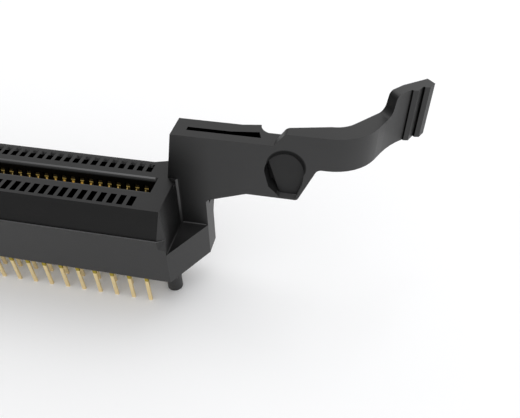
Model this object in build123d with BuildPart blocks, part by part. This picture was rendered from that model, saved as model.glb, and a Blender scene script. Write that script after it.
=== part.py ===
from build123d import *
import math
import os

os.makedirs("parts", exist_ok=True)

# A vertical card edge connector for a sixteen lane expansion card: one black
# moulding with a keyed card slot and a sprung latch arm at its right end, and
# two mirrored banks of gilt spring contacts that are pushed in from below.
# Millimetres. X runs along the slot with 0 at the middle of the key, Y runs
# towards the back with 0 in the plane of the card, Z is up from the board.

# Contact layout
pitch = 1.0
key_half = 1.5
left_count = 11
right_count = 71
groups = {"power": 11, "lane_1": 7, "lanes_4": 14, "lanes_8": 17, "lanes_16": 33}

# Body of the housing
body_height = 11.25
body_half_width = 3.66
skirt_z = 1.3
band_z = 7.05
band_recess = 0.15
end_wall_right = 1.7
end_wall_left = 1.8
slot_end_right = 1.33
slot_end_left = 1.2

# Card slot
slot_width = 1.74
slot_floor_z = 3.2
slot_lip = 0.4
key_width = 1.7

# Contact cavities
cavity_width = 0.6
cavity_inner_y = 1.15
cavity_outer_y = 3.3
window_inner_y = 1.95
strip_thickness = 0.9

# Facet on the front corner and relief at the tower's foot
facet_low_x = 0.85
facet_high_x = 1.16
facet_y = 0.56
facet_drop = 0.97
facet_lean = 0.11
facet_slope = 1.05
relief_depth = 0.6
relief_run = 0.78
relief_y = 0.45

# Standoffs and locating posts
standoff_half_y = 2.0
standoff_length = 1.65
post_diameter = 1.72
post_y = -0.67
post_inset = 0.9
post_chamfer = 0.2

# Spring contacts
contact_width = 0.4
contact_thickness = 0.2
bow_y = 0.62
bow_z = 9.3
tip_y = 1.02
tip_z = 10.15
beam_foot_z = 3.6
jog_z = 2.0
outer_row_y = 3.05
tail_length = 2.96

# Tower at the right end, measured from the end face of the body
arm_front_y = 1.44
arm_thickness = 2.0
tower_back_y = 4.37
tower_length = 2.94
tower_top_z = 16.45
tower_lean = 0.82
tower_low_back_y = 3.72
buttress_length = 2.96
buttress_z = 5.5
buttress_taper = 1.5

# Triangular foot in front of the tower, with coves where faces meet
foot_top_z = 5.4
corner_cove = 0.38
foot_cove = 0.1

# Twin leaf spring made by a slit from top to bottom
slit_start = 1.29
slit_front_y = 2.47
slit_width = 0.55
slit_bend = 5.5
slit_end = 8.46
slit_end_width = 0.92
leaf_bend = 6.32
leaf_end = 8.09
leaf_end_y = 4.68
neck_run = 0.9
neck_radius = 1.38
arm_low_z = 8.85
arm_low_run = 4.2
knee_radius = 0.6

# Head of the arm with its hook pocket
head_bottom_z = 10.38
head_step = 9.81
head_step_run = 1.0
head_corner = 12.2
head_slope_end = 13.9
lever_bottom_z = 14.3
lever_top_z = 17.8
head_bevel_y = 2.35
head_round = 0.6
chin_radius = 0.4
hook_depth = 0.6
hook_slot_depth = 1.5
hook_x = 10.82
hook_z = 13.6
hook_radius = 1.87
hook_bottom_z = 10.64
hook_ramp = 0.22
hook_start = -8
hook_sweep = 203
rim_shift_x = 0.17
rim_shift_z = 0.63
rim_radius = 1.94
rim_round = 0.95

# Lever that curves to the back and ends in a finger pad
lever_start = 14.77
lever_radius = 4.6
lever_turn = 64.5
lever_back_turn = 48.5
lever_run = 1.35
sweep_radius = 9.0
sweep_turn = 27.5
pad_run = 1.8
pad_length = 2.85
pad_thickness = 1.07
pad_top_z = 19.75
shoulder_back = 4.95
shoulder_run = 0.35
shoulder_radius = 0.9
crown_radius = 0.55
rib_pitch = 1.36
rib_count = 2
rib_run = 1.3
rib_height = 0.42
rib_nose = 0.42
rib_flat = 0.13

# Places that follow from the sizes above
last_x = key_half + (right_count - 1) * pitch
first_x = -key_half - (left_count - 1) * pitch
slot_right = last_x + slot_end_right
slot_left = first_x - slot_end_left
body_right = slot_right + end_wall_right
body_left = slot_left - end_wall_left
body_length = body_right - body_left
body_mid = (body_right + body_left) / 2
half_slot = slot_width / 2
half_key = key_width / 2
strip_z = body_height - strip_thickness
above = body_height + 0.2
below = skirt_z - 0.2
facet_foot_x = body_right - facet_low_x + facet_lean
right_row = [key_half + i * pitch for i in range(right_count)]
left_row = [-key_half - i * pitch for i in range(left_count)]


def rising(angle):
    return (math.cos(math.radians(angle)), math.sin(math.radians(angle)))


# The latch arm seen from above and from the front
tower_left = body_right - tower_lean
arm_end = body_right + lever_start
step_left = body_right + head_step
step_right = step_left + head_step_run
arm_back_y = arm_front_y + arm_thickness
slit_back_y = slit_front_y + slit_width

with BuildPart() as latch:
    # Outline from above, with the twin leaves, the neck and the head
    with BuildSketch(Plane.XY.offset(skirt_z)):
        with BuildLine():
            Polyline(
                (body_right + leaf_end + neck_run, arm_back_y),
                (arm_end, arm_back_y),
                (arm_end, arm_front_y),
                (tower_left, arm_front_y),
                (tower_left, tower_back_y),
                (body_right + leaf_bend, tower_back_y),
                (body_right + leaf_end, leaf_end_y),
            )
            RadiusArc(
                (body_right + leaf_end, leaf_end_y),
                (body_right + leaf_end + neck_run, arm_back_y),
                -neck_radius,
            )
        make_face()
        with BuildLine():
            Polyline(
                (body_right + slit_start, slit_front_y),
                (body_right + slit_end, slit_front_y),
                (body_right + slit_end - 0.32, slit_front_y + slit_end_width),
                (body_right + slit_bend, slit_back_y),
                (body_right + slit_start, slit_back_y),
                close=True,
            )
        make_face(mode=Mode.SUBTRACT)
    extrude(amount=lever_top_z - skirt_z)
    # Outline from the front, with the lean of the tower and the hanging head
    with BuildSketch(Plane.XZ) as side:
        with BuildLine():
            Polyline(
                (body_right, skirt_z),
                (body_right + tower_length, skirt_z),
                (body_right + tower_length, arm_low_z),
                (body_right + tower_length + arm_low_run, head_bottom_z),
                (body_right + head_corner, head_bottom_z),
                (body_right + head_slope_end, lever_bottom_z),
                (arm_end, lever_bottom_z),
                (arm_end, lever_top_z),
                (step_right, lever_top_z),
                (step_left, tower_top_z),
                (body_right, tower_top_z),
                (tower_left, body_height),
                (body_right, body_height),
                close=True,
            )
        make_face()
        for x, z, radius in (
            (body_right + tower_length, arm_low_z, knee_radius),
            (body_right + head_corner, head_bottom_z, chin_radius),
            (body_right + head_slope_end, lever_bottom_z, head_round),
            (step_right, lever_top_z, head_round),
        ):
            fillet(side.vertices().sort_by_distance((x, z))[:1], radius=radius)
    extrude(amount=-2 * tower_back_y, mode=Mode.INTERSECT)
    # The tower narrows to the line of the body low down at the back
    with BuildSketch(Plane.YZ.offset(tower_left - 1)):
        with BuildLine():
            Polyline(
                (tower_low_back_y, skirt_z - 1),
                (tower_low_back_y, buttress_z),
                (tower_back_y, buttress_z + buttress_taper),
                (2 * tower_back_y, buttress_z + buttress_taper),
                (2 * tower_back_y, skirt_z - 1),
                close=True,
            )
        make_face()
    extrude(amount=tower_length + tower_lean + 2, mode=Mode.SUBTRACT)

    # Bevel behind the top of the head
    with BuildSketch(Plane.XY.offset(tower_top_z)):
        with BuildLine():
            Polyline(
                (step_left - 0.2, head_bevel_y - 0.1),
                (arm_end, arm_back_y),
                (step_left - 0.2, arm_back_y + 0.5),
                close=True,
            )
        make_face()
    extrude(amount=lever_top_z - tower_top_z, mode=Mode.SUBTRACT)

    # Hook pocket in the front of the head, with a deep slot at its left
    hook = (body_right + hook_x, hook_z)
    with BuildSketch(Plane.XZ.offset(-arm_front_y)) as pocket:
        with BuildLine():
            crown = CenterArc(hook, hook_radius, hook_start, hook_sweep)
            Polyline(
                crown @ 1,
                (hook[0] - 0.785 * hook_radius, hook[1] - 1.02 * hook_radius),
                (hook[0] - 0.225 * hook_radius, hook_bottom_z),
                (hook[0] + 0.66 * hook_radius, hook_bottom_z),
                (hook[0] + 0.94 * hook_radius, hook[1] - 0.7 * hook_radius),
                crown @ 0,
            )
        make_face()
    extrude(amount=-hook_depth, mode=Mode.SUBTRACT)
    with BuildSketch(Plane.XZ.offset(-arm_front_y)):
        add(pocket.sketch)
        with BuildLine():
            Polyline(
                (hook[0] - 0.885 * hook_radius, hook[1] + 0.55 * hook_radius),
                (hook[0] - 0.235 * hook_radius, hook_bottom_z),
                (hook[0] - 0.235 * hook_radius, hook_bottom_z - 1),
                (hook[0] - 2 * hook_radius, hook_bottom_z - 1),
                (hook[0] - 2 * hook_radius, hook[1] + hook_radius),
                (hook[0] - 0.885 * hook_radius, hook[1] + hook_radius),
                close=True,
            )
        make_face(mode=Mode.INTERSECT)
    extrude(amount=-hook_slot_depth, mode=Mode.SUBTRACT)
    # Ramp out of the pocket at the bottom
    with BuildSketch(Plane.YZ.offset(hook[0] - 0.225 * hook_radius)):
        with BuildLine():
            Polyline(
                (arm_front_y + hook_depth, hook_bottom_z),
                (arm_front_y, hook_bottom_z - hook_ramp),
                (arm_front_y - 0.1, hook_bottom_z - hook_ramp),
                (arm_front_y - 0.1, hook_bottom_z),
                close=True,
            )
        make_face()
    extrude(amount=0.885 * hook_radius, mode=Mode.SUBTRACT)
    # Rounded rim, turned off centre so that it is widest at the top
    hub = (hook[0] + rim_shift_x, arm_front_y, hook[1] + rim_shift_z)
    with BuildSketch(Plane(origin=hub, z_dir=(0, 0, 1))):
        with BuildLine():
            turn = math.degrees(math.acos(1 - hook_depth / rim_round))
            round_edge = CenterArc((rim_radius, rim_round), rim_round, 270, -turn)
            Polyline(
                round_edge @ 1,
                (0, hook_depth),
                (0, -0.1),
                (rim_radius, -0.1),
                round_edge @ 0,
            )
        make_face()
    revolve(axis=Axis(hub, (0, -1, 0)), mode=Mode.SUBTRACT)

# The lever and its finger pad
with BuildPart() as lever:
    with BuildLine() as front_edge:
        start = (arm_end, arm_front_y)
        bend = JernArc(start=start, tangent=(1, 0), radius=lever_radius, arc_size=lever_turn)
        rise = Line(bend @ 1, bend @ 1 + Vector(*rising(lever_turn)) * lever_run)
        sweep_arc = JernArc(
            start=rise @ 1,
            tangent=rising(lever_turn),
            radius=sweep_radius,
            arc_size=-sweep_turn,
        )
        pad_angle = lever_turn - sweep_turn
        along = Vector(*rising(pad_angle))
        across = Vector(*rising(pad_angle + 90))
        pad_face = Line(sweep_arc @ 1, sweep_arc @ 1 + along * pad_run)
    pad_end = pad_face @ 1
    pad_back_end = pad_end + across * pad_thickness
    pad_back_root = pad_back_end - along * pad_length
    with BuildSketch(Plane.XY.offset(lever_bottom_z)):
        with BuildLine():
            add(front_edge.line)
            Line(pad_end, pad_back_end)
            Line(pad_back_end, pad_back_root)
            back_bend = JernArc(
                start=(arm_end, arm_back_y),
                tangent=(1, 0),
                radius=lever_radius - arm_thickness,
                arc_size=lever_back_turn,
            )
            Line(back_bend @ 1, pad_back_root)
            Line((arm_end, arm_back_y), (arm_end, arm_front_y))
        make_face()
    extrude(amount=pad_top_z - lever_bottom_z)
    # A curved shoulder takes the top down from the pad to the lever
    shoulder_plane = Plane(origin=pad_end, x_dir=along, z_dir=-across)
    reach = 2 * lever_start
    with BuildSketch(shoulder_plane) as shoulder:
        with BuildLine():
            Polyline(
                (-reach, lever_top_z),
                (-shoulder_back, lever_top_z),
                (-shoulder_back + shoulder_run, pad_top_z),
                (0, pad_top_z),
                (0, pad_top_z + 1),
                (-reach, pad_top_z + 1),
                close=True,
            )
        make_face()
        for x, z, radius in (
            (-shoulder_back, lever_top_z, shoulder_radius),
            (-shoulder_back + shoulder_run, pad_top_z, crown_radius),
        ):
            fillet(shoulder.vertices().sort_by_distance((x, z))[:1], radius=radius)
    extrude(amount=reach, both=True, mode=Mode.SUBTRACT)

# Raised ribs down the front of the finger pad
with BuildPart() as ribs:
    with BuildSketch(Plane.XY.offset(lever_bottom_z)):
        for i in range(rib_count):
            foot = pad_end - along * (rib_run + (rib_count - 1 - i) * rib_pitch)
            with BuildLine():
                Polyline(
                    foot + across * 0.3,
                    foot - across * 0.2,
                    foot + along * rib_nose - across * rib_height,
                    foot + along * (rib_nose + rib_flat) - across * 0.85 * rib_height,
                    foot + along * rib_run,
                    foot + along * rib_run + across * 0.3,
                    close=True,
                )
            make_face()
    extrude(amount=pad_top_z - lever_bottom_z)

# The moulding: body, slot, key, cavities, standoffs, posts, foot and latch
with BuildPart() as housing:
    with BuildSketch(Plane.YZ.offset(body_left)):
        with BuildLine():
            Polyline(
                (-body_half_width, skirt_z),
                (body_half_width, skirt_z),
                (body_half_width, band_z),
                (body_half_width - band_recess, band_z),
                (body_half_width, body_height),
                (-body_half_width, body_height),
                (-body_half_width + band_recess, band_z),
                (-body_half_width, band_z),
                close=True,
            )
        make_face()
    extrude(amount=body_length)

    # Facet on the front corner, widest at the ledge
    for run, tip in (
        (facet_high_x, (body_right, -body_half_width, body_height)),
        (facet_low_x, (facet_foot_x, -body_half_width, band_z - facet_drop)),
    ):
        with BuildSketch(Plane.XY.offset(band_z), mode=Mode.PRIVATE) as facet:
            with BuildLine():
                Polyline(
                    (body_right - run, -body_half_width),
                    (body_right, -body_half_width),
                    (body_right, -body_half_width + facet_y),
                    close=True,
                )
            make_face()
        loft([facet.sketch.face(), Vertex(*tip)], mode=Mode.SUBTRACT)
    with BuildSketch(Plane.YZ.offset(body_right), mode=Mode.PRIVATE) as slope:
        with BuildLine():
            Polyline(
                (-body_half_width, band_z),
                (-body_half_width + facet_y, band_z),
                (-body_half_width, band_z - facet_slope),
                close=True,
            )
        make_face()
    loft([slope.sketch.face(), Vertex(*tip)], mode=Mode.SUBTRACT)

    # Relief in the top beside the tower
    with BuildSketch(Plane.XY.offset(body_height)):
        with BuildLine():
            Polyline(
                (body_right - relief_run, arm_front_y),
                (body_right, relief_y),
                (body_right, arm_front_y),
                close=True,
            )
        make_face()
    extrude(amount=-relief_depth, mode=Mode.SUBTRACT)

    # Card slot in two lengths with a rounded lead in along each lip
    with BuildSketch(Plane.YZ.offset(slot_left)):
        with BuildLine():
            lip_z = body_height - slot_lip
            front_lip = CenterArc((-half_slot - slot_lip, lip_z), slot_lip, 90, -90)
            back_lip = CenterArc((half_slot + slot_lip, lip_z), slot_lip, 180, -90)
            Polyline(
                front_lip @ 1,
                (-half_slot, slot_floor_z),
                (half_slot, slot_floor_z),
                back_lip @ 0,
            )
            Polyline(
                back_lip @ 1,
                (half_slot + slot_lip, above),
                (-half_slot - slot_lip, above),
                front_lip @ 0,
            )
        make_face()
    extrude(amount=slot_right - slot_left, mode=Mode.SUBTRACT)
    with Locations((0, 0, (slot_floor_z + body_height) / 2)):
        Box(key_width, slot_width + 2 * slot_lip, body_height - slot_floor_z)

    # One cavity for each contact, open to the slot, the top and the board
    for x in left_row + right_row:
        with BuildSketch(Plane.YZ.offset(x - cavity_width / 2)):
            with BuildLine():
                Polyline(
                    (half_slot - 0.1, slot_floor_z),
                    (half_slot - 0.1, strip_z),
                    (window_inner_y, strip_z),
                    (window_inner_y, above),
                    (cavity_outer_y, above),
                    (cavity_outer_y, below),
                    (cavity_inner_y, below),
                    (cavity_inner_y, slot_floor_z),
                    close=True,
                )
            make_face()
            mirror(about=Plane.YZ)
    extrude(amount=cavity_width, mode=Mode.SUBTRACT)

    # Standoffs under the key and both ends
    with BuildSketch(Plane.XY):
        with Locations(
            (body_right - standoff_length / 2, 0),
            (0, 0),
            (body_left + standoff_length / 2, 0),
        ):
            Rectangle(standoff_length, 2 * standoff_half_y)
    extrude(amount=skirt_z)

    # Locating posts at the key and the latch end
    with BuildSketch(Plane.XY):
        with Locations((body_right - post_inset, post_y), (0, post_y)):
            Circle(post_diameter / 2)
    extrude(amount=-tail_length)
    tips = housing.edges().filter_by(GeomType.CIRCLE).group_by(Axis.Z)[0]
    chamfer(tips, length=post_chamfer)

    # Triangular foot and the buttress behind the tower
    with BuildSketch(Plane.XY.offset(skirt_z)):
        with BuildLine():
            Polyline(
                (body_right, -body_half_width),
                (body_right + tower_length, arm_front_y),
                (body_right, arm_front_y),
                close=True,
            )
        make_face()
    extrude(amount=foot_top_z - skirt_z)
    with BuildSketch(Plane.XY.offset(foot_top_z)):
        with BuildLine():
            cove = CenterArc(
                (body_right + corner_cove, arm_front_y - corner_cove), corner_cove, 90, 90
            )
            Polyline(cove @ 1, (body_right, arm_front_y), cove @ 0)
        make_face()
    extrude(amount=body_height - foot_top_z)
    with BuildSketch(Plane.YZ.offset(body_right)):
        with BuildLine():
            Polyline(
                (arm_front_y, foot_top_z),
                (arm_front_y, foot_top_z + foot_cove),
                (arm_front_y - foot_cove, foot_top_z),
                close=True,
            )
        make_face()
    extrude(amount=tower_length - 2 * foot_cove)
    with BuildSketch(Plane.XZ.offset(-arm_front_y)):
        with BuildLine():
            Polyline(
                (body_right, foot_top_z),
                (body_right, foot_top_z + foot_cove),
                (body_right + foot_cove, foot_top_z),
                close=True,
            )
        make_face()
    extrude(amount=arm_front_y + body_half_width - 2 * foot_cove)
    with BuildSketch(Plane.YZ.offset(body_right - buttress_length)):
        with BuildLine():
            Polyline(
                (body_half_width - 0.5, buttress_z),
                (tower_low_back_y, buttress_z),
                (tower_back_y, buttress_z + buttress_taper),
                (tower_back_y, body_height),
                (body_half_width - 0.5, body_height),
                close=True,
            )
        make_face()
    extrude(amount=buttress_length)
    with BuildSketch(Plane.XY.offset(body_height)):
        with BuildLine():
            Polyline(
                (body_right - buttress_length - 1, body_half_width),
                (body_right - buttress_length, body_half_width),
                (tower_left, tower_back_y),
                (tower_left, tower_back_y + 1),
                (body_right - buttress_length - 1, tower_back_y + 1),
                close=True,
            )
        make_face()
    extrude(amount=-body_height, mode=Mode.SUBTRACT)

    # The latch arm is one with the body
    add(latch.part)
    add(lever.part)
    add(ribs.part)

housing.part.label = "housing"
export_step(housing.part, "parts/housing.step")


# Spring contacts, drawn for the back bank and mirrored for the front
def inner_profile():
    t = contact_thickness
    return [
        (tip_y, tip_z),
        (bow_y, bow_z),
        (cavity_inner_y, beam_foot_z),
        (cavity_inner_y, -tail_length),
        (cavity_inner_y + t, -tail_length),
        (cavity_inner_y + t, beam_foot_z),
        (bow_y + t, bow_z),
    ]


def outer_profile():
    t = contact_thickness
    return [
        (tip_y, tip_z),
        (bow_y, bow_z),
        (cavity_inner_y, beam_foot_z),
        (cavity_inner_y, jog_z),
        (outer_row_y - t / 2, jog_z),
        (outer_row_y - t / 2, -tail_length),
        (outer_row_y + t / 2, -tail_length),
        (outer_row_y + t / 2, jog_z + t),
        (cavity_inner_y + t, jog_z + t),
        (cavity_inner_y + t, beam_foot_z),
        (bow_y + t, bow_z),
    ]


all_x = sorted(left_row + right_row)
start = 0
for group, count in groups.items():
    places = all_x[start:start + count]
    start = start + count
    for row, profile, odd in (("outer", outer_profile(), 1), ("inner", inner_profile(), 0)):
        picked = [x for x in places if all_x.index(x) % 2 == odd]
        for side_name, sign in (("back", 1), ("front", -1)):
            with BuildPart() as contacts:
                for x in picked:
                    with BuildSketch(Plane.YZ.offset(x - contact_width / 2)):
                        with BuildLine():
                            Polyline([(sign * y, z) for y, z in profile], close=True)
                        make_face()
                extrude(amount=contact_width)
            name = "contacts_" + side_name + "_" + row + "_" + group
            contacts.part.label = name
            export_step(contacts.part, "parts/" + name + ".step")
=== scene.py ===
import math

import bmesh
import bpy
from mathutils import Euler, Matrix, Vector


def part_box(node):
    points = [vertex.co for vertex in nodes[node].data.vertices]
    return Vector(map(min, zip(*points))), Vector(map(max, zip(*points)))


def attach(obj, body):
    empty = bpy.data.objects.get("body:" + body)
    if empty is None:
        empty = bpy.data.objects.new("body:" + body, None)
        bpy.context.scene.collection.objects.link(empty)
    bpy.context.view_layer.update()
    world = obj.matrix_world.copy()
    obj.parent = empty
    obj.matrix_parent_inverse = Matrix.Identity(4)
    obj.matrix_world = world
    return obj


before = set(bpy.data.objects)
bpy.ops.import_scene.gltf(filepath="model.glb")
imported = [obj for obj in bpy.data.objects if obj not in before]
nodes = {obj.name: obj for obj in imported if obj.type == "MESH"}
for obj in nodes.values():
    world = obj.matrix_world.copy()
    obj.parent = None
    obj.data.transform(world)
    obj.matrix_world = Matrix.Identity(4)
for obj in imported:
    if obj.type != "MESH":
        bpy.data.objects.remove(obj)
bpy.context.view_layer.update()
scene = bpy.context.scene
MM = 0.001

# Camera at the photograph's viewing angle: the picture and the focal length in pixels, the
# sensor in millimetres, the place in metres and the angles in radians
PHOTO_WIDTH = 520
FOCAL_PIXELS = 515
SENSOR_WIDTH = 36.0
CAMERA_PLACE = (0.090483, -0.036430, 0.043044)
AZIMUTH = 0.19302
ELEVATION = 0.72809

# Finish of the moulding. The painted shade or highlight of a place multiplies colour and gloss, and the
# occlusion darkens the colour in hollows as painted shade
BASE_LOW = 0.0120
BASE_HIGH = 0.0160
SPECULAR = 0.5
ROUGH = 0.45
ROUGH_SPREAD = 0.04
BLUE_SHARE = 1.015
FINE_GRAIN = 9.0
COARSE_GRAIN = 0.26
GRAIN_STRENGTH = 0.08
GRAIN_HEIGHT = 0.02
OCCLUSION_REACH = 8.0
OCCLUSION_POWER = 1.1
OCCLUSION_LEAST = 0.3

# Places on the body, in millimetres: X along the slot, Y to the back, Z up
BODY_LEFT = -14.5
BODY_RIGHT = 74.53
BODY_HALF_WIDTH = 3.66
BAND_RECESS = 0.15
FACET_LEFT = 73.3
FACET_INNER_Y = 3.05
SLOT_LEFT = -13.3
SLOT_RIGHT = 72.83
SLOT_HALF_WIDTH = 0.87
MID_SLOT_X = 63.5
KEY_HALF = 1.5
TOP_Z = 11.25
SKIRT_Z = 1.3
LEDGE_Z = 7.05
ALONG_BODY = (BODY_LEFT - 0.5, BODY_RIGHT - 0.03)
ALONG_SLOT = (SLOT_LEFT - 0.5, SLOT_RIGHT - 0.3)

# Windows and lips, where light and shade are painted. A window's flank takes a painted light where Y
# plus LIGHT_SLOPE times Z is over LIGHT_EDGE
WINDOW_INNER_Y = 1.95
WINDOW_OUTER_Y = 3.3
# Below WINDOW_BLACK_Z the cavities are painted black as shade; above WINDOW_GREY_Z the far wall takes a
# painted light
WINDOW_BLACK_Z = 10.5
WINDOW_GREY_Z = 10.75
LIGHT_SLOPE = 1.25
LIGHT_EDGE = 16.74
LIP_Y = (0.8, 1.4)
LIP_EDGE_Z = 11.165
LIP_FOOT_Z = 10.90

# Corner between the end face, the tower and the triangular foot, where shade and highlights are painted
FRONT_Y = -4.0
ARM_FRONT_Y = 1.44
TOWER_LEFT = 73.6
TOWER_END_X = 77.47
TOWER_TOP_Z = 16.45
FOOT_Z = 5.4
FOOT_END_X = 80.0
COVE_END_X = BODY_RIGHT + 0.20
COVE_FRONT_Y = 1.0
RELIEF_X = (72.6, BODY_RIGHT + 0.6)
RELIEF_FRONT_Y = -0.8
RELIEF_SLOPE_Z = 9.0
RELIEF_FLOOR_Y = 0.4
RELIEF_FLOOR_Z = 10.6
IN_FRONT_OF_ARM = ARM_FRONT_Y - 0.001
ABOVE_FOOT = FOOT_Z + 0.02

# Slit between the two leaves of the spring
SLIT_X = (75.82, 82.99)
SLIT_Y = (2.47, 3.02)
SLIT_FLOOR_Z = 7.6

# Hook pocket in the head
POCKET_X = (82.6, 87.9)
POCKET_Z = (10.3, 16.3)
POCKET_FLOOR_Y = 2.04
POCKET_RIM_Y = ARM_FRONT_Y + 0.004
POCKET_SLOT_Y = ARM_FRONT_Y + 1.52
POCKET_RAMP_TOP_Z = 10.9
RIGHT_WALL_X = (86.2, 88)
RIGHT_WALL_Z = (10.6, 12.7)
LEFT_WALL_X = (83.3, 84.9)
LEFT_WALL_Z = (10.6, 13.2)

# Left end of the head, and the slopes to both sides of the finger pad
HEAD_END_X = (84.8, 87.5)
HEAD_END_Y = (1.3, 5)
HEAD_END_Z = (16.2, 17.79)
SHOULDER_X = (92, 99)
SHOULDER_Z = (14, 19.7)
PAD_END_X = (97, 99)
PAD_END_Z = (14, 19.74)

# Directions that a face looks in, as limits for one part of its normal
SQUARE = (0.98, 1.1)
NEARLY_SQUARE = (0.9, 1.1)
STEEP = (0.8, 1.1)
MOSTLY = (0.7, 1.1)

# Floor under the lowest piece, in metres
FLOOR_PLACE = (0.09, 0.1, min(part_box(name)[0].z for name in nodes))
FLOOR_SIZE = 4.0
FLOOR_COLOUR = (0.966, 0.968, 0.976, 1)

# Light: a pale room that is a little darker on the left, and one soft lamp, in metres and watts
WORLD_LEFT = 0.64
WORLD_RIGHT = 1.06
LAMP_PLACE = (0.16, 0.20, 0.62)
LAMP_TARGET = (0.08, 0, 0.01)
LAMP_SIZE = 0.35
LAMP_WATTS = 0.68


# Small helpers for node materials
def material(name):
    mat = bpy.data.materials.new(name)
    mat.use_nodes = True
    tree = mat.node_tree
    tree.nodes.clear()
    out = tree.nodes.new("ShaderNodeOutputMaterial")
    shader = tree.nodes.new("ShaderNodeBsdfPrincipled")
    tree.links.new(shader.outputs["BSDF"], out.inputs["Surface"])
    return mat, tree, shader


def new(tree, kind, **values):
    node = tree.nodes.new(kind)
    for key, value in values.items():
        setattr(node, key, value)
    return node


def plug(tree, socket, value):
    if isinstance(value, (int, float)):
        socket.default_value = value
    elif isinstance(value, tuple):
        socket.default_value = value + (1,)
    else:
        tree.links.new(value, socket)


def calc(tree, operation, *values):
    node = new(tree, "ShaderNodeMath", operation=operation)
    for socket, value in zip(node.inputs, values):
        plug(tree, socket, value)
    return node.outputs[0]


def ramp(tree, value, low, high, start=0.0, end=1.0):
    node = new(tree, "ShaderNodeMapRange", clamp=True)
    tree.links.new(value, node.inputs["Value"])
    for key, number in (("From Min", low), ("From Max", high), ("To Min", start), ("To Max", end)):
        node.inputs[key].default_value = number
    return node.outputs["Result"]


def mix_colour(tree, factor, a, b):
    node = new(tree, "ShaderNodeMix", data_type="RGBA")
    for socket, value in ((node.inputs[0], factor), (node.inputs[6], a), (node.inputs[7], b)):
        plug(tree, socket, value)
    return node.outputs[2]


def where(tree, mask, otherwise, value):
    node = new(tree, "ShaderNodeMix", data_type="FLOAT")
    for socket, number in ((node.inputs[0], mask), (node.inputs[2], otherwise), (node.inputs[3], value)):
        plug(tree, socket, number)
    return node.outputs[0]


def noise(tree, vector, scale, detail=3.0):
    node = new(tree, "ShaderNodeTexNoise")
    tree.links.new(vector, node.inputs["Vector"])
    node.inputs["Scale"].default_value = scale
    node.inputs["Detail"].default_value = detail
    return node.outputs["Fac"]


def surface(tree):
    """Place in millimetres, and direction, of the surface, by name."""
    geometry = new(tree, "ShaderNodeNewGeometry")
    scaled = new(tree, "ShaderNodeVectorMath", operation="SCALE")
    tree.links.new(geometry.outputs["Position"], scaled.inputs[0])
    scaled.inputs["Scale"].default_value = 1 / MM
    place = new(tree, "ShaderNodeSeparateXYZ")
    tree.links.new(scaled.outputs[0], place.inputs[0])
    facing = new(tree, "ShaderNodeSeparateXYZ")
    tree.links.new(geometry.outputs["True Normal"], facing.inputs[0])
    values = {"place": scaled.outputs[0]}
    for axis in "XYZ":
        values[axis.lower()] = place.outputs[axis]
        values["n" + axis.lower()] = facing.outputs[axis]
    values["side"] = calc(tree, "ABSOLUTE", values["y"])
    values["across"] = calc(tree, "ABSOLUTE", values["ny"])
    values["along"] = calc(tree, "ABSOLUTE", values["nx"])
    return values


def zone(tree, values, **limits):
    """1 where every named value lies between its limits, otherwise 0."""
    result = 1.0
    for name, (low, high) in limits.items():
        above = calc(tree, "GREATER_THAN", values[name], low)
        below = calc(tree, "LESS_THAN", values[name], high)
        result = calc(tree, "MULTIPLY", result, calc(tree, "MULTIPLY", above, below))
    return result


def any_of(tree, *masks):
    result = masks[0]
    for mask in masks[1:]:
        result = calc(tree, "MAXIMUM", result, mask)
    return result


def about(plane, reach=0.02):
    return (plane - reach, plane + reach)


# Zones of the moulding where shade and highlights are painted, each a mask by place and direction
# Painted shade on the band, the facet and the tops, darker to the left; painted light on the ledge
def body_zones(tree, at):
    band_side = (BODY_HALF_WIDTH - BAND_RECESS - 0.015, BODY_HALF_WIDTH + 0.008)
    band_z = (LEDGE_Z + 0.005, TOP_Z - 0.01)
    ledge_side = (FACET_INNER_Y, BODY_HALF_WIDTH + 0.02)
    ledge_x = (ALONG_BODY[0], BODY_RIGHT + 0.07)
    facet_x = (FACET_LEFT, BODY_RIGHT + 0.07)
    facet_y = (-BODY_HALF_WIDTH - 0.04, -FACET_INNER_Y)
    facet_z = (6, TOP_Z - 0.02)
    return {
        "band": zone(tree, at, side=band_side, z=band_z, across=SQUARE, x=ALONG_BODY),
        "ledge": zone(tree, at, side=ledge_side, z=about(LEDGE_Z), nz=MOSTLY, x=ledge_x),
        "facet": zone(tree, at, x=facet_x, y=facet_y, z=facet_z, along=(0.2, 0.97)),
        "upward": zone(tree, at, z=(TOP_Z - 0.01, 20), nz=SQUARE),
    }


# Painted black for shade in the cavities, deep windows and near window walls; painted light on the far
# walls and flanks; a painted highlight on the lip edge; painted shade on the lip flanks and slot walls
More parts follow.
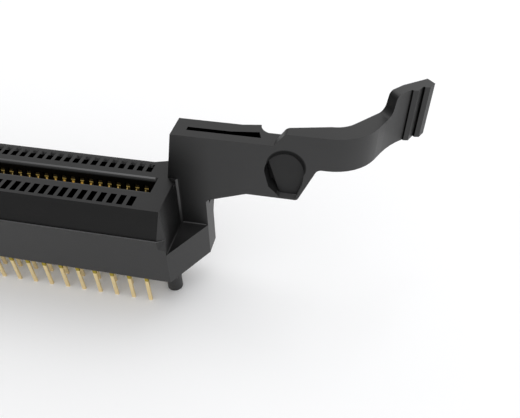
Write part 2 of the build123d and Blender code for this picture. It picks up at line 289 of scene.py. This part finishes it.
def slot_zones(tree, at):
    cavity_side = (SLOT_HALF_WIDTH + 0.01, WINDOW_OUTER_Y + 0.02)
    cavity_z = (SKIRT_Z + 0.1, WINDOW_BLACK_Z + 0.02)
    flank_side = (SLOT_HALF_WIDTH + 0.01, WINDOW_OUTER_Y + 0.1)
    flank_z = (WINDOW_BLACK_Z, TOP_Z - 0.005)
    end_y = about(WINDOW_OUTER_Y, 0.05)
    end_z = (WINDOW_GREY_Z, TOP_Z - 0.01)
    deep_z = (WINDOW_BLACK_Z - 0.1, WINDOW_GREY_Z)
    near_z = (WINDOW_BLACK_Z - 0.1, TOP_Z - 0.005)
    lip_edge_z = (LIP_EDGE_Z, TOP_Z - 0.004)
    lip_flank_z = (LIP_FOOT_Z, LIP_EDGE_Z)
    flank = zone(tree, at, side=flank_side, z=flank_z, along=MOSTLY, x=ALONG_SLOT)
    slant = calc(tree, "ADD", at["y"], calc(tree, "MULTIPLY", at["z"], LIGHT_SLOPE))
    lit = calc(tree, "GREATER_THAN", slant, LIGHT_EDGE)
    return {
        "cavity": zone(tree, at, side=cavity_side, z=cavity_z, x=ALONG_SLOT),
        "window_side": flank,
        "window_flank": calc(tree, "MULTIPLY", flank, lit),
        "window_end": zone(tree, at, y=end_y, z=end_z, x=ALONG_SLOT),
        "window_deep": zone(tree, at, y=end_y, z=deep_z, x=ALONG_SLOT),
        "window_near": zone(tree, at, y=about(-WINDOW_INNER_Y), z=near_z, x=ALONG_SLOT),
        "lip_edge": zone(tree, at, y=LIP_Y, z=lip_edge_z, ny=(-0.9, -0.1), x=ALONG_SLOT),
        "lip_flank": zone(tree, at, y=LIP_Y, z=lip_flank_z, ny=(-1.1, -0.1), x=ALONG_SLOT),
        "slot_wall": zone(
            tree, at, side=(0.7, 0.95), z=(SKIRT_Z, LIP_FOOT_Z), across=NEARLY_SQUARE, x=ALONG_SLOT
        ),
    }


# Painted shade on the end face, the tower face, the relief and the foot, darkest near the corner;
# painted light on the relief floor; painted highlights along the cove and the foot line
def corner_zones(tree, at):
    past_end = BODY_RIGHT + 0.021
    relief_y = (RELIEF_FRONT_Y, IN_FRONT_OF_ARM)
    wall_x = (past_end, RELIEF_X[1])
    wall_z = (FOOT_Z + 0.1, TOP_Z - 0.005)
    slope_z = (RELIEF_SLOPE_Z, TOP_Z - 0.005)
    relief = any_of(
        tree,
        zone(tree, at, x=wall_x, y=relief_y, z=wall_z),
        zone(tree, at, x=RELIEF_X, y=relief_y, z=slope_z, nz=(0.02, 1.1)),
    )
    floor_y = (RELIEF_FLOOR_Y, ARM_FRONT_Y + 0.02)
    floor_z = (RELIEF_FLOOR_Z, TOP_Z - 0.03)
    foot_x = (BODY_RIGHT, FOOT_END_X)
    foot_y = (FRONT_Y, ARM_FRONT_Y)
    tower_x = (TOWER_LEFT, FOOT_END_X)
    tower_z = (ABOVE_FOOT, TOWER_TOP_Z)
    line_y = (ARM_FRONT_Y - 0.06, IN_FRONT_OF_ARM)
    line_z = (FOOT_Z + 0.01, FOOT_Z + 0.11)
    cove_x = (past_end, COVE_END_X)
    cove_y = (COVE_FRONT_Y, IN_FRONT_OF_ARM)
    cove_z = (FOOT_Z + 0.1, TOP_Z)
    return {
        "relief": relief,
        "relief_floor": zone(tree, at, x=(TOWER_LEFT, BODY_RIGHT), y=floor_y, z=floor_z),
        "cove": zone(tree, at, x=cove_x, y=cove_y, z=cove_z),
        "foot": zone(tree, at, x=foot_x, y=foot_y, z=about(FOOT_Z, 0.01)),
        "foot_line": zone(tree, at, x=foot_x, y=line_y, z=line_z),
        "end_face": zone(tree, at, x=about(BODY_RIGHT), y=foot_y, z=(ABOVE_FOOT, TOP_Z)),
        "tower_face": zone(tree, at, x=tower_x, y=about(ARM_FRONT_Y), z=tower_z),
    }


# Painted black for shade in the slit; painted shade on the pocket rim and floor, the head end, the
# shoulder and the pad end; painted light on the pocket ramp, walls and slot, which has no gloss
def arm_zones(tree, at):
    slit_box = {"y": (SLIT_Y[0] - 0.01, SLIT_Y[1] + 0.4), "z": (SLIT_FLOOR_Z, TOWER_TOP_Z - 0.01)}
    slit = any_of(
        tree,
        zone(tree, at, x=SLIT_X, across=STEEP, **slit_box),
        zone(tree, at, x=about(SLIT_X[0]), along=STEEP, **slit_box),
    )
    outline = {"x": POCKET_X, "z": POCKET_Z}
    deep_y = (POCKET_FLOOR_Y + 0.02, POCKET_SLOT_Y)
    right_y = (POCKET_RIM_Y, POCKET_FLOOR_Y - 0.01)
    left_y = (ARM_FRONT_Y + 0.02, POCKET_FLOOR_Y - 0.02)
    ramp_y = (ARM_FRONT_Y, POCKET_FLOOR_Y)
    ramp_z = (POCKET_Z[0], POCKET_RAMP_TOP_Z)
    return {
        "slit": slit,
        "pocket": zone(tree, at, y=(POCKET_RIM_Y, POCKET_SLOT_Y), **outline),
        "pocket_floor": zone(tree, at, y=about(POCKET_FLOOR_Y, 0.01), **outline),
        "pocket_slot": zone(tree, at, y=deep_y, **outline),
        "pocket_right": zone(tree, at, x=RIGHT_WALL_X, z=RIGHT_WALL_Z, y=right_y),
        "pocket_left": zone(tree, at, x=LEFT_WALL_X, z=LEFT_WALL_Z, y=left_y),
        "pocket_ramp": zone(tree, at, x=POCKET_X, z=ramp_z, y=ramp_y, nz=MOSTLY),
        "head_end": zone(tree, at, x=HEAD_END_X, y=HEAD_END_Y, z=HEAD_END_Z, nx=(-1.1, -0.2)),
        "shoulder": zone(tree, at, x=SHOULDER_X, z=SHOULDER_Z, nx=(-1.1, -0.4)),
        "pad_end": zone(tree, at, x=PAD_END_X, z=PAD_END_Z, nx=(0.35, 1.1)),
    }


# Zones with their own painted shade or highlight, which the occlusion leaves alone
UNOCCLUDED = (
    "band", "ledge", "pocket", "foot", "relief", "relief_floor", "cove", "foot_line", "end_face",
    "tower_face",
)


def painted_shades(tree, at):
    """Painted shade (below 1) or painted highlight (above 1) of each zone, in the order in which a later
    one covers an earlier.
    """
    # End face and tower face: painted shade, darkest near the corner, a little lifted low on the end
    # face
    low_on_end = ramp(tree, at["z"], FOOT_Z, 9.5, 1.2, 1.0)
    end_face = calc(tree, "MULTIPLY", ramp(tree, at["y"], -1.9, -3.6, 0.31, 0.63), low_on_end)
    tower = ramp(tree, at["x"], BODY_RIGHT - 0.8, BODY_RIGHT + 3.6, 0.38, 1.0)
    tower = where(tree, ramp(tree, at["z"], 18.5, 13.0), 1.0, tower)
    depth = calc(tree, "MAXIMUM", calc(tree, "SUBTRACT", at["y"], ARM_FRONT_Y), 0.0)
    return {
        "end_face": end_face,
        "tower_face": tower,
        "relief": 0.42,
        "relief_floor": 1.6,
        "upward": ramp(tree, at["x"], 88, 100, 0.78, 0.97),
        "head_end": 0.55,
        "facet": 0.86,
        "foot": ramp(tree, at["y"], -2.4, -0.3, 0.52, 1.2),
        "cove": ramp(tree, at["z"], FOOT_Z, TOP_Z, 0.9, 1.6),
        "foot_line": 1.9,
        "band": ramp(tree, at["x"], 56, 74, 0.20, 0.29),
        "shoulder": ramp(tree, at["nx"], -0.75, -0.4, 0.24, 0.75),
        "pad_end": 0.6,
        "pocket": ramp(tree, calc(tree, "SQRT", depth), 0.0, 0.15, 0.90, 0.16),
        "pocket_floor": 0.62,
        "pocket_slot": 0.0,
        "pocket_ramp": 2.2,
        "lip_flank": 0.85,
        "slit": 0.0,
        "cavity": 0.0,
        "window_side": 0.0,
        "window_deep": 0.0,
        "window_near": 0.0,
        "slot_wall": 0.30,
    }


def painted_bases(tree, at):
    """Painted base colour of zones, in the order of covering: painted light on the far window walls,
    window flanks, lip edge, ledge, pocket walls and pocket slot.
    """
    return {
        "window_end": 0.13,
        "window_flank": 0.085,
        "lip_edge": ramp(tree, at["x"], 56, 70, 0.062, 0.105),
        "ledge": 0.165,
        "pocket_right": 0.07,
        "pocket_left": 0.02,
        "pocket_slot": ramp(tree, at["x"], 83.6, 85.0, 0.022, 0.032),
    }


def moulded_black():
    """Black plastic: a faint grain, occlusion darkening as painted shade, and a painted shade or
    highlight for each place on the moulding.
    """
    mat, tree, shader = material("moulded_black")
    at = surface(tree)
    zones = {}
    for zones_of in (body_zones, slot_zones, corner_zones, arm_zones):
        zones.update(zones_of(tree, at))

    # Occlusion darkens the base colour as painted shade in hollows and corners
    occlusion = new(tree, "ShaderNodeAmbientOcclusion", only_local=True, samples=12)
    occlusion.inputs["Distance"].default_value = OCCLUSION_REACH * MM
    openness = calc(tree, "POWER", occlusion.outputs["AO"], OCCLUSION_POWER)
    openness = calc(tree, "MAXIMUM", openness, OCCLUSION_LEAST)
    openness = where(tree, any_of(tree, *[zones[name] for name in UNOCCLUDED]), openness, 1.0)

    # Painted shade and highlight of each zone, multiplying colour and gloss
    shading = 1.0
    for name, value in painted_shades(tree, at).items():
        shading = where(tree, zones[name], shading, value)

    fine = noise(tree, at["place"], FINE_GRAIN)
    coarse = noise(tree, at["place"], COARSE_GRAIN, 2.0)
    base = ramp(tree, coarse, 0.0, 1.0, BASE_LOW, BASE_HIGH)
    base = calc(tree, "MULTIPLY", base, calc(tree, "MULTIPLY", shading, openness))
    # Painted base colours in some zones, mostly painted light
    for name, value in painted_bases(tree, at).items():
        base = where(tree, zones[name], base, value)
    tint = new(tree, "ShaderNodeCombineColor")
    for channel, share in (("Red", 1.0), ("Green", 1.0), ("Blue", BLUE_SHARE)):
        tree.links.new(calc(tree, "MULTIPLY", base, share), tint.inputs[channel])
    tree.links.new(tint.outputs[0], shader.inputs["Base Color"])
    tree.links.new(calc(tree, "MULTIPLY", shading, SPECULAR), shader.inputs["Specular IOR Level"])
    rough = ramp(tree, fine, 0.3, 0.7, ROUGH - ROUGH_SPREAD, ROUGH + ROUGH_SPREAD)
    tree.links.new(rough, shader.inputs["Roughness"])
    bump = new(tree, "ShaderNodeBump")
    bump.inputs["Strength"].default_value = GRAIN_STRENGTH
    bump.inputs["Distance"].default_value = GRAIN_HEIGHT * MM
    tree.links.new(fine, bump.inputs["Height"])
    tree.links.new(bump.outputs["Normal"], shader.inputs["Normal"])
    return mat


def bow_painted_reflection(tree, at):
    """The bows carry a painted reflection of the lamp in a strip, widest and warmest in mid slot, with
    painted shade beside it.

    Towards the latch it moves over to the left of the contact.
    """
    dark = (0.04, 0.026, 0.003)
    orange = (1.0, 0.58, 0.09)
    yellow = (0.85, 0.66, 0.26)
    across_contact = calc(tree, "FRACT", calc(tree, "SUBTRACT", at["x"], KEY_HALF - 0.5))
    off_centre = calc(tree, "ABSOLUTE", calc(tree, "SUBTRACT", at["x"], MID_SLOT_X))
    strip_place = ramp(tree, at["x"], 56, 71, 0.60, 0.40)
    strip_half = ramp(tree, off_centre, 0, 7, 0.14, 0.05)
    lit = calc(tree, "COMPARE", across_contact, strip_place, strip_half)
    warm = mix_colour(tree, ramp(tree, off_centre, 1, 7), orange, yellow)
    return mix_colour(tree, lit, dark, warm)


def gilt_contact():
    """Gilt contacts: pale tails with a painted shadow at the root, and painted highlights and shade on
    the bows and tips in the slot.
    """
    mat, tree, shader = material("gilt_contact")
    at = surface(tree)
    shadowed_root = (0.42, 0.32, 0.03)
    brown = (0.95, 0.62, 0.20)
    black = (0.03, 0.02, 0.003)
    tip = (0.62, 0.44, 0.12)
    streak = noise(tree, at["place"], 2.5, 2.0)
    gold = mix_colour(tree, streak, (0.86, 0.68, 0.35), (0.96, 0.79, 0.47))
    # Painted shadow at the tail root, painted reflection on the bows, and painted black shade around a
    # lit tip in the slot
    for low, high, colour in (
        (0.12, 0.22, shadowed_root),
        (3.0, 4.0, brown),
        (9.0, 9.1, bow_painted_reflection(tree, at)),
        (9.75, 9.77, black),
        (9.82, 9.84, tip),
        (9.92, 9.94, black),
    ):
        gold = mix_colour(tree, ramp(tree, at["z"], low, high), gold, colour)
    tree.links.new(gold, shader.inputs["Base Color"])
    tree.links.new(ramp(tree, at["z"], 3.0, 9.0, 0.75, 0.1), shader.inputs["Metallic"])
    shader.inputs["Roughness"].default_value = 0.35
    return mat


def solid_box(name, low, high):
    mesh = bmesh.new()
    bmesh.ops.create_cube(mesh, size=1.0)
    for vertex in mesh.verts:
        for axis in range(3):
            share = vertex.co[axis] + 0.5
            vertex.co[axis] = (low[axis] + share * (high[axis] - low[axis])) * MM
    data = bpy.data.meshes.new(name)
    mesh.to_mesh(data)
    mesh.free()
    piece = bpy.data.objects.new(name, data)
    scene.collection.objects.link(piece)
    return piece


def photograph_camera():
    data = bpy.data.cameras.new("camera")
    data.sensor_fit = "HORIZONTAL"
    data.sensor_width = SENSOR_WIDTH
    data.lens = SENSOR_WIDTH * FOCAL_PIXELS / PHOTO_WIDTH
    data.clip_start = 0.001
    data.clip_end = 5.0
    camera = bpy.data.objects.new("camera", data)
    camera.location = CAMERA_PLACE
    camera.rotation_euler = Euler((math.pi / 2 - ELEVATION, 0, AZIMUTH))
    scene.collection.objects.link(camera)
    return camera


def pale_floor():
    bpy.ops.mesh.primitive_plane_add(size=FLOOR_SIZE, location=FLOOR_PLACE)
    floor = bpy.context.object
    floor.name = "floor"
    mat, tree, shader = material("pale_floor")
    shader.inputs["Base Color"].default_value = FLOOR_COLOUR
    shader.inputs["Roughness"].default_value = 0.9
    shader.inputs["Specular IOR Level"].default_value = 0.0
    floor.data.materials.append(mat)
    return floor


def room():
    world = bpy.data.worlds.new("studio")
    world.use_nodes = True
    tree = world.node_tree
    direction = new(tree, "ShaderNodeSeparateXYZ")
    tree.links.new(new(tree, "ShaderNodeTexCoord").outputs["Generated"], direction.inputs[0])
    background = tree.nodes["Background"]
    background.inputs["Color"].default_value = (1, 1, 1, 1)
    strength = ramp(tree, direction.outputs["X"], -1.0, 0.4, WORLD_LEFT, WORLD_RIGHT)
    tree.links.new(strength, background.inputs["Strength"])
    return world


def softbox(name, place, target, size, watts):
    data = bpy.data.lights.new(name, "AREA")
    data.shape = "SQUARE"
    data.size = size
    data.energy = watts
    lamp = bpy.data.objects.new(name, data)
    lamp.location = place
    aim = Vector(target) - Vector(place)
    lamp.rotation_euler = aim.to_track_quat("-Z", "Y").to_euler()
    scene.collection.objects.link(lamp)


scene.camera = photograph_camera()
scene.view_settings.view_transform = "Standard"

plastic = moulded_black()
gilt = gilt_contact()
for name, piece in nodes.items():
    piece.data.materials.clear()
    piece.data.materials.append(plastic if name == "housing" else gilt)

# The slit ends just under the arm: below that the tower is closed
web = solid_box(
    "slit_web",
    (SLIT_X[0], SLIT_Y[0], SKIRT_Z),
    (TOWER_END_X, SLIT_Y[1], SLIT_FLOOR_Z),
)
web.data.materials.append(plastic)
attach(web, "root")

floor = pale_floor()
scene.world = room()
softbox("key", LAMP_PLACE, LAMP_TARGET, LAMP_SIZE, LAMP_WATTS)
